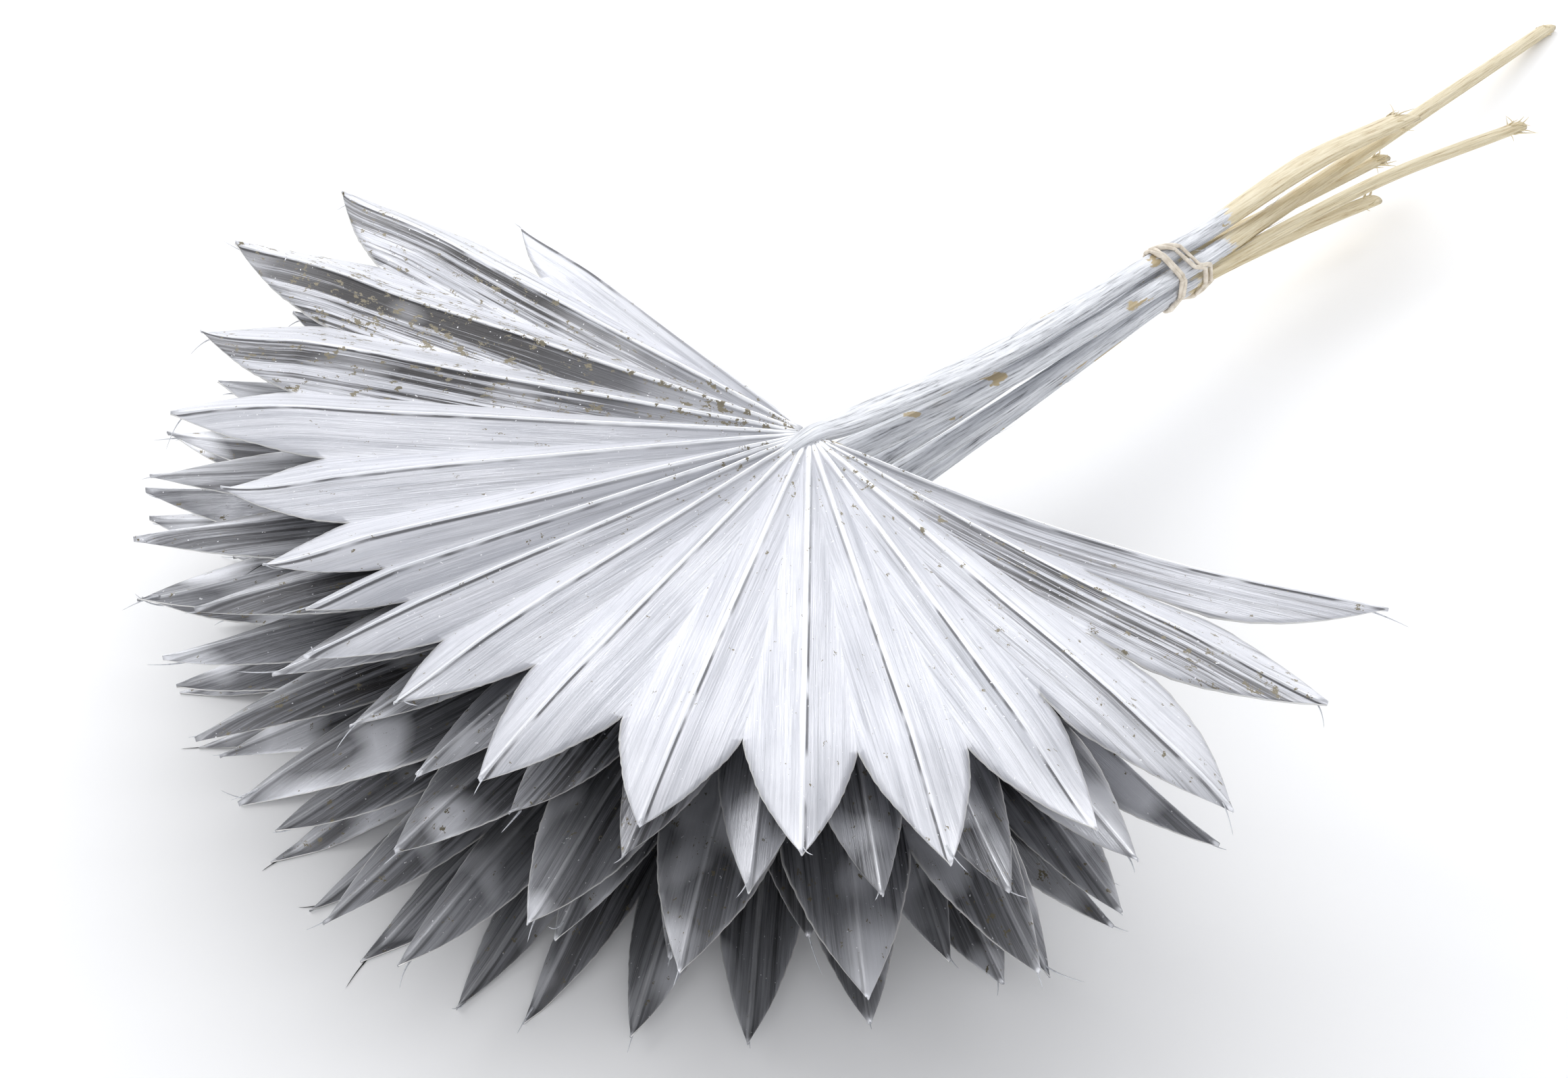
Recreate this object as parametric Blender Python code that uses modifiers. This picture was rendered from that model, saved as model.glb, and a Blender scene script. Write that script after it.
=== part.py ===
"""A tied bunch of dried, painted fan palm leaves lying on a surface, built in Blender.

Each leaf is one solid: a pleated blade of pointed segments fused to its stem. One rubber
band holds the stems together. All sizes are in millimetres and are turned to metres once,
when a mesh is made. While the bunch is laid out, the surface is z = 0 and the hub of the
top leaf, where its segments meet its stem, stands over x = y = 0. The stems run away to +X
and +Y. At the end everything is moved so that the bounding box stands on the origin.
"""
import math

import bpy
import bmesh
import numpy as np

MM = 0.001
PART_NAME = "fan_palm_leaf_bunch"

# One blade: its sheet, its pleats, and where its segments part from each other.
# A real blade is about half as thick. The pleats rise and fall in proportion to the radius.
BLADE_THICKNESS = 0.8
BLADE_START_RADIUS = 3.0
PLEAT_START_RADIUS = 14.0
PLEAT_RISE = 0.023
LOWER_NOTCH = 0.74
OUTER_NOTCH = 0.55
OUTER_HALF_ANGLES = np.radians([1.2, 2.5])
TAPER_START = 0.74
TAPER_CURVE = 1.3
EARLY_TAPER = 0.12
ROWS_TO_NOTCH = (0.3, 0.65, 1.0)
ROWS_OF_FREE_END = (0.33, 0.66)

# The droop of a blade. Where it meets the surface it is cut flat by this small overlap.
REFERENCE_RADIUS = 180.0
DROOP_POWER = 1.5
DROOP_DIRECTIONS = (180.0, 235.0, 290.0)
SIDE_SAG = 9.0
SIDE_SAG_START = 308.0
SIDE_SAG_RANGE = 22.0
SURFACE_OVERLAP = 0.15
CUTTER_SIZE = (2000.0, 2000.0, 100.0)

# The stack of leaves
TOP_HUB_HEIGHT = 73.0
HUB_STEP = 11.0
HUB_DRIFT = -1.2

# The stems: each runs on as a short rib over its own blade, then to the band and past it
STEM_DIRECTION = math.radians(49.0)
STEM_SIDES = 8
STEM_STEP = 14.0
RIB_REACH = 24.0
RIB_HEIGHT = 2.6
RIB_TIP_SIZE = (2.0, 1.4)
NECK_OFFSET = (0.8, -0.8, -0.4)
NECK_SIZE_SHARES = (0.75, 0.9)
SHOULDER_SHARE = 0.12
SHOULDER_DIP_SHARE = 0.4
MIDDLE_SHARE = 0.55
SPLAYED_DEPTH_SHARE = 0.9
CUT_DEPTH_SHARE = 0.8

# The tied stretch of the stems, measured from the top leaf's hub along the stems
BAND_DISTANCE = 184.0
BAND_HEIGHT = 34.0
BAND_SLOPE = -0.09
BUNDLE_BEFORE = 14.0
BUNDLE_AFTER = 24.0

# The rubber band: for each turn, how far its far side leans and where it sits along the stems
BAND_STRAND_RADIUS = 0.85
BAND_CLEARANCE = 0.5
BAND_POINTS = 40
BAND_LEAN_ANGLE = math.radians(150.0)
BAND_TURNS = [(0.0, -6.3), (0.0, -5.0), (13.0, -4.4), (15.0, -3.4)]
WELD_DISTANCE = 0.01

# Shading stays sharp where two faces meet at more than this angle
SHARP_ANGLE = math.radians(30.0)


def blend(low, high, share):
    """Return the value a share of the way from low to high."""
    return low + (high - low) * share


class Leaf:
    """Driving sizes of one leaf: where its segments point, how it droops and its stem.

    The stem's widths are read at its base, between base and band, at the band, past the band
    and at the cut end. Its slot is its place in the tied bundle, across and up. The dip lowers
    it between its base and the band, the lift raises it half-way between the bundle and its
    end, and the slant makes the cut oblique.
    """

    def __init__(self, index, azimuths, lengths, notches, tip_rise,
                 stem_widths, stem_depth, slot, dip, lift, end, slant):
        self.name = f"leaf_{index + 1}"
        self.hub = np.array([HUB_DRIFT * index, HUB_DRIFT * index, TOP_HUB_HEIGHT - HUB_STEP * index])
        self.azimuths = np.radians(azimuths)
        self.lengths = np.array(lengths, float)
        self.notch_shares = np.array(notches, float)
        self.tip_rise = tip_rise
        self.stem_widths = stem_widths
        self.stem_depth = stem_depth
        self.slot = slot
        self.dip = dip
        self.lift = lift
        self.end = np.array(end, float)
        self.slant = slant


# Segments of each leaf, from its right side round the front to its left side:
# the direction of each midrib in degrees, and its length
TOP_AZIMUTHS = [333, 319, 304, 293, 281, 269, 255, 240, 227, 217, 210, 203, 190, 177, 165, 152, 140, 130]
TOP_LENGTHS = [172, 175, 185, 177, 175, 170, 165, 166, 157, 165, 155, 160, 166, 184, 187, 200, 192, 139]
TOP_NOTCHES = [0.52, 0.63, 0.69] + 5 * [0.77] + 9 * [0.83]
SECOND_AZIMUTHS = [308.5, 297, 286, 276, 265, 254, 243, 232, 223, 213, 202, 191, 182, 169, 155, 144]
SECOND_LENGTHS = [166, 179, 178, 172, 169, 166, 164, 162, 162, 168, 178, 190, 187, 176, 172, 161]
THIRD_AZIMUTHS = [310, 298, 289, 275, 260, 247, 233, 219, 211, 202, 193, 180, 171, 156, 142]
THIRD_LENGTHS = [168, 172, 181, 181, 177, 176, 173, 189, 188, 187, 190, 189, 190, 174, 166]
FOURTH_AZIMUTHS = [302, 292, 284, 271, 258, 247, 237, 229, 219, 208, 198, 187, 176, 163, 152]
FOURTH_LENGTHS = [150, 171, 160, 150, 158, 160, 187, 187, 178, 178, 182, 189, 192, 200, 194]
LOWEST_AZIMUTHS = [303, 290, 277, 266, 255.5, 245.5, 239.5, 229, 221, 213.5, 205, 196, 188, 178, 168]
LOWEST_LENGTHS = [155, 159, 162, 166, 167, 169, 173, 175, 173, 172, 171, 177, 181, 172, 176]

# Rise of the tips over the hub at the right front, left front and left of each leaf
LEAVES = [
    Leaf(0, TOP_AZIMUTHS, TOP_LENGTHS, TOP_NOTCHES, (0, 0, 0),
         (10.0, 10.0, 7.2, 10.0, 8.2), 4.8, (-3.1, 6.0), 5.0, 4.0, (214, 249, 26), 7.0),
    Leaf(1, SECOND_AZIMUTHS, SECOND_LENGTHS, LOWER_NOTCH, (-2, 0, 2),
         (11.0, 9.0, 6.6, 5.8, 5.2), 4.6, (3.5, 2.1), 4.4, 0.0, (291, 357, 1.6), 4.0),
    Leaf(2, THIRD_AZIMUTHS, THIRD_LENGTHS, LOWER_NOTCH, (-17, -8, 0),
         (9.0, 7.0, 5.2, 5.0, 4.6), 4.2, (-3.5, -0.8), 3.2, 0.0, (208, 245, 12), 3.0),
    Leaf(3, FOURTH_AZIMUTHS, FOURTH_LENGTHS, LOWER_NOTCH, (-20, -18, -8),
         (9.0, 7.0, 5.0, 4.4, 4.2), 4.2, (4.3, -3.4), 2.4, 4.5, (258, 251, 22), 1.0),
    Leaf(4, LOWEST_AZIMUTHS, LOWEST_LENGTHS, LOWER_NOTCH, (-24, -34, -30),
         (8.0, 6.6, 5.6, 5.2, 5.0), 4.6, (1.2, -8.4), 0.6, 1.0, (201, 216, 13), 1.5),
]


def rise_at(leaf, azimuth):
    """Rise of a full-length tip over its hub, read round the leaf between its three values."""
    degrees = math.degrees(azimuth) % 360.0
    return float(np.interp(degrees, DROOP_DIRECTIONS, leaf.tip_rise[::-1]))


def middle_height(leaf, azimuth, radius):
    """Height of the unpleated blade: level at the hub, bending more and more outwards.

    The outermost segments on the right hang a little between the hub and their tips.
    """
    reach = radius / REFERENCE_RADIUS
    side = (math.degrees(azimuth) - SIDE_SAG_START) / SIDE_SAG_RANGE
    sag = SIDE_SAG * min(1.0, max(0.0, side)) * math.sin(math.pi * min(1.0, reach))
    return leaf.hub[2] + rise_at(leaf, azimuth) * reach ** DROOP_POWER - sag


def blade_point(leaf, azimuth, radius, fold):
    """A point of the blade's middle surface. Nothing of it is pressed below the surface."""
    height = middle_height(leaf, azimuth, radius) + fold
    height = max(height, 0.5 * BLADE_THICKNESS - SURFACE_OVERLAP)
    flat = leaf.hub[:2] + radius * np.array([math.cos(azimuth), math.sin(azimuth)])
    return (flat[0], flat[1], height)


def blade_mesh(leaf):
    """The pleated fan as an open sheet of triangles.

    Every segment is a ridge between two valleys. Valleys end at the notches, and past them
    the free edges close in to the tip, where the fold dies out with the width.
    """
    vertices = []
    faces = []
    count = len(leaf.azimuths)
    edges = np.concatenate([
        [leaf.azimuths[0] + OUTER_HALF_ANGLES[0]],
        0.5 * (leaf.azimuths[:-1] + leaf.azimuths[1:]),
        [leaf.azimuths[-1] - OUTER_HALF_ANGLES[1]]])
    shorter = np.minimum(leaf.lengths[:-1], leaf.lengths[1:])
    notches = np.concatenate([
        [leaf.lengths[0] * OUTER_NOTCH],
        shorter * leaf.notch_shares,
        [leaf.lengths[-1] * OUTER_NOTCH]])

    def add(azimuth, radius, fold):
        vertices.append(blade_point(leaf, azimuth, radius, fold))
        return len(vertices) - 1

    def row_radii(end_radius):
        start = [BLADE_START_RADIUS, PLEAT_START_RADIUS]
        return start + [blend(PLEAT_START_RADIUS, end_radius, share) for share in ROWS_TO_NOTCH]

    def fold_depth(radius):
        opening = min(1.0, max(0.0, (radius - BLADE_START_RADIUS) / PLEAT_START_RADIUS))
        return PLEAT_RISE * opening * radius

    def width_share(radius, notch, length):
        """Share of its full width that a segment still has past its notch. It narrows a little
        from the notch on, and tapers to its tip from there or from the taper's start."""
        start = max(notch, TAPER_START * length)
        early = EARLY_TAPER * (radius - notch) / (length - notch)
        taper = max(0.0, (radius - start) / (length - start))
        return 1.0 - early - (1.0 - EARLY_TAPER) * taper ** TAPER_CURVE

    valleys = []
    for i, azimuth in enumerate(edges):
        valleys.append([add(azimuth, radius, -fold_depth(radius)) for radius in row_radii(notches[i])])

    for i in range(count):
        azimuth = leaf.azimuths[i]
        length = leaf.lengths[i]
        base = 0.5 * (notches[i] + notches[i + 1])
        ridge = [add(azimuth, radius, fold_depth(radius)) for radius in row_radii(base)]
        for share in ROWS_OF_FREE_END:
            radius = blend(base, length, share)
            ridge.append(add(azimuth, radius, fold_depth(radius) * width_share(radius, base, length)))
        tip = add(azimuth, length, 0.0)
        for side, edge, notch in ((0, edges[i], notches[i]), (1, edges[i + 1], notches[i + 1])):
            free_edge = list(valleys[i + side])
            for share in ROWS_OF_FREE_END:
                radius = blend(notch, length, share)
                width = width_share(radius, notch, length)
                free_edge.append(add(blend(azimuth, edge, width), radius, -fold_depth(radius) * width))
            for row in range(len(ridge) - 1):
                corners = [ridge[row], ridge[row + 1], free_edge[row + 1], free_edge[row]]
                if side == 1:
                    corners.reverse()
                faces.append((corners[0], corners[1], corners[2]))
                faces.append((corners[0], corners[2], corners[3]))
            corners = [ridge[-1], tip, free_edge[-1]]
            if side == 1:
                corners.reverse()
            faces.append(tuple(corners))
    mesh = bpy.data.meshes.new(leaf.name + "_blade")
    mesh.from_pydata([tuple(MM * value for value in vertex) for vertex in vertices], [], faces)
    mesh.validate()
    return mesh


def smooth_route(points, step):
    """Points every step or so along a smooth curve through the given points."""
    points = np.array(points, float)
    ends = np.vstack([2.0 * points[0] - points[1], points, 2.0 * points[-1] - points[-2]])
    route = []
    for i in range(1, len(ends) - 2):
        before, start, finish, after = ends[i - 1:i + 3]
        pieces = max(1, round(float(np.linalg.norm(finish - start)) / step))
        for k in range(pieces):
            t = k / pieces
            route.append(0.5 * (2.0 * start + (finish - before) * t
                                + (2.0 * before - 5.0 * start + 4.0 * finish - after) * t ** 2
                                + (3.0 * start - before - 3.0 * finish + after) * t ** 3))
    route.append(points[-1])
    return np.array(route)


def band_point(across, up, along):
    """A point of the tied bundle: across and up from its middle, along its direction."""
    direction = np.array([math.cos(STEM_DIRECTION), math.sin(STEM_DIRECTION), BAND_SLOPE])
    sideways = np.array([math.sin(STEM_DIRECTION), -math.cos(STEM_DIRECTION), 0.0])
    middle = np.array([BAND_DISTANCE * direction[0], BAND_DISTANCE * direction[1], BAND_HEIGHT])
    return middle + direction * along + sideways * across + np.array([0.0, 0.0, up])


def loft(name, centres, widths, depths, sides, slant):
    """A closed bar of oval sections whose last section is set obliquely by the slant."""
    vertices = []
    for i, centre in enumerate(centres):
        forward = centres[min(i + 1, len(centres) - 1)] - centres[max(i - 1, 0)]
        forward = forward / np.linalg.norm(forward)
        sideways = np.cross(forward, (0.0, 0.0, 1.0))
        sideways = sideways / np.linalg.norm(sideways)
        upward = np.cross(sideways, forward)
        shift = slant if i == len(centres) - 1 else 0.0
        for k in range(sides):
            angle = 2.0 * math.pi * (k + 0.5) / sides
            across = 0.5 * widths[i] * math.cos(angle)
            up = 0.5 * depths[i] * math.sin(angle)
            point = centre + sideways * across + upward * up + forward * shift * math.cos(angle)
            vertices.append(tuple(MM * point))
    faces = []
    rings = len(centres)
    for i in range(rings - 1):
        for k in range(sides):
            following = (k + 1) % sides
            faces.append((i * sides + k, (i + 1) * sides + k,
                          (i + 1) * sides + following, i * sides + following))
    faces.append(tuple(range(sides)))
    faces.append(tuple(reversed(range((rings - 1) * sides, rings * sides))))
    mesh = bpy.data.meshes.new(name)
    mesh.from_pydata(vertices, [], faces)
    mesh.validate()
    return mesh


def stem_mesh(leaf):
    """The stem with the short rib that it sends onto the blade, from that rib to the cut end."""
    rib_azimuth = STEM_DIRECTION + math.pi
    rib_tip = np.array([
        leaf.hub[0] + RIB_REACH * math.cos(rib_azimuth),
        leaf.hub[1] + RIB_REACH * math.sin(rib_azimuth),
        middle_height(leaf, rib_azimuth, RIB_REACH) + RIB_HEIGHT])
    neck = leaf.hub + np.array(NECK_OFFSET)
    tied_in = band_point(*leaf.slot, -BUNDLE_BEFORE)
    tied_middle = band_point(*leaf.slot, 0.5 * (BUNDLE_AFTER - BUNDLE_BEFORE))
    tied_out = band_point(*leaf.slot, BUNDLE_AFTER)
    half_way = blend(tied_out, leaf.end, 0.5) + np.array([0.0, 0.0, leaf.lift])
    dip = np.array([0.0, 0.0, leaf.dip])
    shoulder = blend(neck, tied_in, SHOULDER_SHARE) - SHOULDER_DIP_SHARE * dip
    route = [rib_tip, neck, shoulder, blend(neck, tied_in, MIDDLE_SHARE) - dip,
             tied_in, tied_middle, tied_out, half_way, leaf.end]
    centres = smooth_route(route, STEM_STEP)
    run = np.concatenate([[0.0], np.cumsum(np.linalg.norm(np.diff(centres, axis=0), axis=1))])
    knots = [0.0]
    for start, finish in zip(route[:-1], route[1:]):
        knots.append(knots[-1] + float(np.linalg.norm(finish - start)))
    knots = np.array(knots) * run[-1] / knots[-1]
    base, middle, tied, splayed, cut = leaf.stem_widths
    deep = leaf.stem_depth
    widths = np.interp(run, knots, [
        RIB_TIP_SIZE[0], NECK_SIZE_SHARES[0] * base, base, middle, tied, tied, tied, splayed, cut])
    depths = np.interp(run, knots, [
        RIB_TIP_SIZE[1], NECK_SIZE_SHARES[1] * deep, deep, deep, deep, deep, deep,
        SPLAYED_DEPTH_SHARE * deep, CUT_DEPTH_SHARE * deep])
    return loft(leaf.name + "_stem", centres, widths, depths, STEM_SIDES, leaf.slant)


def new_object(name, mesh, collection):
    """Link a new object that shows the mesh."""
    thing = bpy.data.objects.new(name, mesh)
    collection.objects.link(thing)
    return thing


def finish(thing, material):
    """Name the object's mesh, shade it smooth but for its folds and give it its material."""
    thing.data.name = thing.name
    thing.data.materials.clear()
    thing.data.materials.append(material)
    thing.data.shade_smooth()
    thing.data.set_sharp_from_angle(angle=SHARP_ANGLE)
    return thing


def evaluated_mesh(thing):
    """Return a new mesh of the object as its modifiers show it."""
    bpy.context.view_layer.update()
    evaluated = thing.evaluated_get(bpy.context.evaluated_depsgraph_get())
    return bpy.data.meshes.new_from_object(evaluated)


def combine(thing, other, operation):
    """Join the other object to this one or cut it away, and remove the other.

    Where the exact solver gives nothing, the manifold one does the work.
    """
    boolean = thing.modifiers.new("combine", "BOOLEAN")
    boolean.operation = operation
    boolean.solver = "EXACT"
    boolean.object = other
    mesh = evaluated_mesh(thing)
    if len(mesh.polygons) == 0:
        boolean.solver = "MANIFOLD"
        mesh = evaluated_mesh(thing)
    thing.modifiers.clear()
    thing.data = mesh
    bpy.data.objects.remove(other, do_unlink=True)


def surface_cutter(collection):
    """A slab below the surface, for the small flat spots where the bunch lies on it."""
    mesh = bpy.data.meshes.new("surface_cutter")
    shape = bmesh.new()
    bmesh.ops.create_cube(shape, size=1.0)
    bmesh.ops.scale(shape, vec=[MM * size for size in CUTTER_SIZE], verts=shape.verts)
    bmesh.ops.translate(shape, vec=(0.0, 0.0, -0.5 * MM * CUTTER_SIZE[2]), verts=shape.verts)
    shape.to_mesh(mesh)
    shape.free()
    cutter = new_object("surface_cutter", mesh, collection)
    cutter.hide_render = True
    cutter.display_type = "WIRE"
    return cutter


def build_leaf(leaf, parts, cutters, material):
    """Make one leaf: the blade as a shell, fused to its stem and flattened where it lies."""
    blade = new_object(leaf.name, blade_mesh(leaf), parts)
    shell = blade.modifiers.new("thickness", "SOLIDIFY")
    shell.thickness = BLADE_THICKNESS * MM
    shell.offset = 0.0
    shell.use_even_offset = True
    shell.use_quality_normals = True
    mesh = evaluated_mesh(blade)
    blade.modifiers.clear()
    blade.data = mesh
    stem = new_object(leaf.name + "_stem", stem_mesh(leaf), parts)
    combine(blade, stem, "UNION")
    lowest = min(vertex.co.z for vertex in blade.data.vertices)
    if lowest < 0.0:
        combine(blade, surface_cutter(cutters), "DIFFERENCE")
    return finish(blade, material)


def bundle_outline(angle, clearance):
    """Point round the tied stems, across and up, that clears them all by the clearance."""
    outward = np.array([math.cos(angle), math.sin(angle)])
    best = None
    for leaf in LEAVES:
        half = 0.5 * np.array([leaf.stem_widths[2], leaf.stem_depth])
        reach = float(np.linalg.norm(half * outward))
        support = float(np.dot(leaf.slot, outward)) + reach
        if best is None or support > best[0]:
            touching = np.array(leaf.slot) + half ** 2 * outward / reach
            best = (support, touching)
    return best[1] + outward * clearance


def band_ring(name, lean, along, parts):
    """One turn of the rubber band round the stems. Its far side leans along them."""
    curve = bpy.data.curves.new(name, "CURVE")
    curve.dimensions = "3D"
    curve.bevel_depth = BAND_STRAND_RADIUS * MM
    curve.bevel_resolution = 1
    spline = curve.splines.new("POLY")
    spline.points.add(BAND_POINTS - 1)
    for i in range(BAND_POINTS):
        angle = 2.0 * math.pi * i / BAND_POINTS
        across, up = bundle_outline(angle, BAND_CLEARANCE + BAND_STRAND_RADIUS)
        place = along + 0.5 * lean * (1.0 - math.cos(angle - BAND_LEAN_ANGLE))
        spline.points[i].co = (*(MM * band_point(across, up, place)), 1.0)
    spline.use_cyclic_u = True
    turn = new_object(name, curve, parts)
    mesh = evaluated_mesh(turn)
    bpy.data.objects.remove(turn, do_unlink=True)
    shape = bmesh.new()
    shape.from_mesh(mesh)
    bmesh.ops.remove_doubles(shape, verts=shape.verts, dist=MM * WELD_DISTANCE)
    shape.to_mesh(mesh)
    shape.free()
    return new_object(name, mesh, parts)


def build_band(parts, material):
    """The rubber band: two straight turns and two that lean along the stems, all fused."""
    band = band_ring("rubber_band", *BAND_TURNS[0], parts)
    for lean, along in BAND_TURNS[1:]:
        combine(band, band_ring("turn", lean, along, parts), "UNION")
    return finish(band, material)


def plain_material(name, colour, roughness, metallic):
    """A Principled material of one colour."""
    material = bpy.data.materials.new(name)
    material.use_nodes = True
    shader = material.node_tree.nodes["Principled BSDF"]
    shader.inputs["Base Color"].default_value = (*colour, 1.0)
    shader.inputs["Roughness"].default_value = roughness
    shader.inputs["Metallic"].default_value = metallic
    return material


def stand_on_origin(things):
    """Move all meshes so that their box stands on the origin, and return the move in metres."""
    corners = np.array([vertex.co[:] for thing in things for vertex in thing.data.vertices])
    low = corners.min(axis=0)
    high = corners.max(axis=0)
    shift = -np.array([0.5 * (low[0] + high[0]), 0.5 * (low[1] + high[1]), low[2]])
    for thing in things:
        for vertex in thing.data.vertices:
            vertex.co.x += shift[0]
            vertex.co.y += shift[1]
            vertex.co.z += shift[2]
        thing.data.update()
    return shift


def main():
    for thing in list(bpy.data.objects):
        bpy.data.objects.remove(thing, do_unlink=True)
    parts = bpy.data.collections.new(PART_NAME)
    cutters = bpy.data.collections.new("cutters")
    bpy.context.scene.collection.children.link(parts)
    bpy.context.scene.collection.children.link(cutters)
    silver = plain_material("silver_painted_leaf", (0.72, 0.72, 0.74), 0.38, 0.85)
    rubber = plain_material("natural_rubber", (0.48, 0.42, 0.34), 0.7, 0.0)
    things = [build_leaf(leaf, parts, cutters, silver) for leaf in LEAVES]
    things.append(build_band(parts, rubber))
    return stand_on_origin(things)


main()
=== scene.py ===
"""Looks of a tied bunch of dried fan palm leaves, sprayed silver, lying on a pale surface.

Sizes are in millimetres and are turned to metres when a mesh is made. Each leaf is laid out
from the place where its segments meet, its hub. The under sides of the leaves are up.
"""

import math

import bmesh
import bpy
import numpy as np
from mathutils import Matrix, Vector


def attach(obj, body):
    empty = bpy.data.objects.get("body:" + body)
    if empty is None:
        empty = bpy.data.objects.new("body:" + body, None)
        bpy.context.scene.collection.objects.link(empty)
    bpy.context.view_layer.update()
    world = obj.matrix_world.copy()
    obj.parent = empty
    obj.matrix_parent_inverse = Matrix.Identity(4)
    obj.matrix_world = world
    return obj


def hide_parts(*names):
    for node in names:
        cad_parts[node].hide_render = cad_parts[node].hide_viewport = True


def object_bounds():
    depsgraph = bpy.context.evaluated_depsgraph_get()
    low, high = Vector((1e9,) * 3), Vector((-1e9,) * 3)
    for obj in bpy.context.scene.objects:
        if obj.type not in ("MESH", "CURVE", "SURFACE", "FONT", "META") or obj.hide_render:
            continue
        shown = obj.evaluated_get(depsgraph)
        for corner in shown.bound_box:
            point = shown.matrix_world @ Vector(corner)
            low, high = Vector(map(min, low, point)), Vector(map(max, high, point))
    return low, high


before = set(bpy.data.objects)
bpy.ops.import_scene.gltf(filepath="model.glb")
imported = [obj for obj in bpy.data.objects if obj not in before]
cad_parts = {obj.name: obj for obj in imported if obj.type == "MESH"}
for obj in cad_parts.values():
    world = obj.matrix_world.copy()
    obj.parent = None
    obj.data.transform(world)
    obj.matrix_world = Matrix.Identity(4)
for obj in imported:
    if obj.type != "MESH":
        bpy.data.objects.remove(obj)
cad_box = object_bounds()
MM = 0.001

# The camera looks down on the bunch from its front, where the photograph was taken. It is
# placed from the top leaf's hub, and its long lens takes in the whole bunch.
TOP_HUB = np.array([-50.05, -87.96, 73.0])
CAMERA_FROM_HUB = np.array([-7.16, -695.17, 523.98])
CAMERA_TILT = math.radians(51.0)
CAMERA_LENS = 70.0
SENSOR_WIDTH = 36.0

camera_data = bpy.data.cameras.new("camera")
camera_data.lens = CAMERA_LENS
camera_data.sensor_width = SENSOR_WIDTH
camera = bpy.data.objects.new("camera", camera_data)
camera.location = (TOP_HUB + CAMERA_FROM_HUB) * MM
camera.rotation_euler = (CAMERA_TILT, 0.0, 0.0)
bpy.context.scene.collection.objects.link(camera)
bpy.context.scene.camera = camera
# The plain tone curve keeps the pale sheet white.
bpy.context.scene.view_settings.view_transform = "Standard"

# The blades: each is one dried fan, folded along its segments like a paper fan and slit from
# the rim to its notches. It was sprayed with silver paint after drying, so that the fine
# veins show through as grain, and the paint is thin and dull where it got little of it. The
# very dark colours of the lower leaves are also painted shade and dark reflection from under the
# top leaf.
HUB_STEP = 11.0
HUB_DRIFT = -1.2
BLADE_START = 3.0
PLEAT_START = 14.0
PLEAT_RISE = 0.0215
REFERENCE_RADIUS = 180.0
DROOP_POWER = 1.5
DROOP_DIRECTIONS = (180.0, 235.0, 290.0)
SIDE_SAG = 9.0
SIDE_SAG_START = 308.0
SIDE_SAG_RANGE = 22.0
LOWER_NOTCH = 0.74
OUTER_NOTCH = 0.55
OUTER_HALF_ANGLES = (1.2, 2.5)
TAPER_START = 0.74
TAPER_CURVE = 1.18
EARLY_TAPER = 0.12
SHEET_THICKNESS = 0.42
LOWEST_SHEET = 0.4
BOX_MARGIN = 0.5 * SHEET_THICKNESS + 0.01
RIB_RISE = 0.75
RIB_HALF_WIDTH = 0.62
WAVE_RISE = 0.9
EDGE_WAVE = 0.025
TIP_WIDTH_SHARE = 0.012
TIP_CURL = 3.0
FRONT_AZIMUTH = math.radians(270.0)
COLUMNS = 21
COLUMN_CROWDING = 1.8
ROWS = 58
NOTCH_ROW_SHARE = 0.6
PLEAT_ROUNDING = 1.12
LEAST_HALF_WIDTH = 0.05
RIB_FADE = 0.75
RAGGED_TURNS = (21.0, 34.0)
WAVE_STEPS = (23.0, 11.0)
QUICK_WAVE_SHARE = 0.6
QUICK_WAVE_SKEW = 2.0
TIP_CURL_RANGE = (-0.3, 1.0)
LOWER_WEAR_AND_SHADE_RANGE = (0.1, 0.8)
BLADE_WELD = 0.002
BLADE_SEED = 100

# Patterns of the paint: cycles for each millimetre across and along, detail and roughness
VEINS = ((2.2, 0.03), 5.0, 0.78)
STREAKS = ((0.34, 0.014), 3.0, 0.6)
DARK_REFLECTION_STREAKS = ((0.7, 0.009), 6.0, 0.75)
PAINTED_SHEEN_BANDS = ((0.05, 0.035), 1.0, 0.5)
RIB_GRAIN = ((2.5, 0.12), 3.0, 0.6)
RIB_GAPS = ((0.2, 0.05), 2.0, 0.6)
WORN_SPOTS = ((0.42, 0.24), 4.0, 0.75)
FLAKES = ((1.3, 0.9), 1.0, 0.5)
PATTERN_STEP = 40.0

PAINTED_DARK_REFLECTION_COLOUR = "#312F2F"
HUB_FOLD_COLOUR = "#9FA1A8"
PAINTED_SHEEN_COLOUR = "#E2E3E8"
TIP_COLOUR = "#C9CACE"
RIB_PAINTED_HIGHLIGHT_COLOUR = "#F6F7FA"
RIB_SHADE_COLOUR = "#2A292C"
BARE_LEAF_COLOUR = "#827B69"
FLAKE_COLOUR = "#EDEDF0"
SLIT_RIM_COLOUR = "#DDDCDA"
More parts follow.
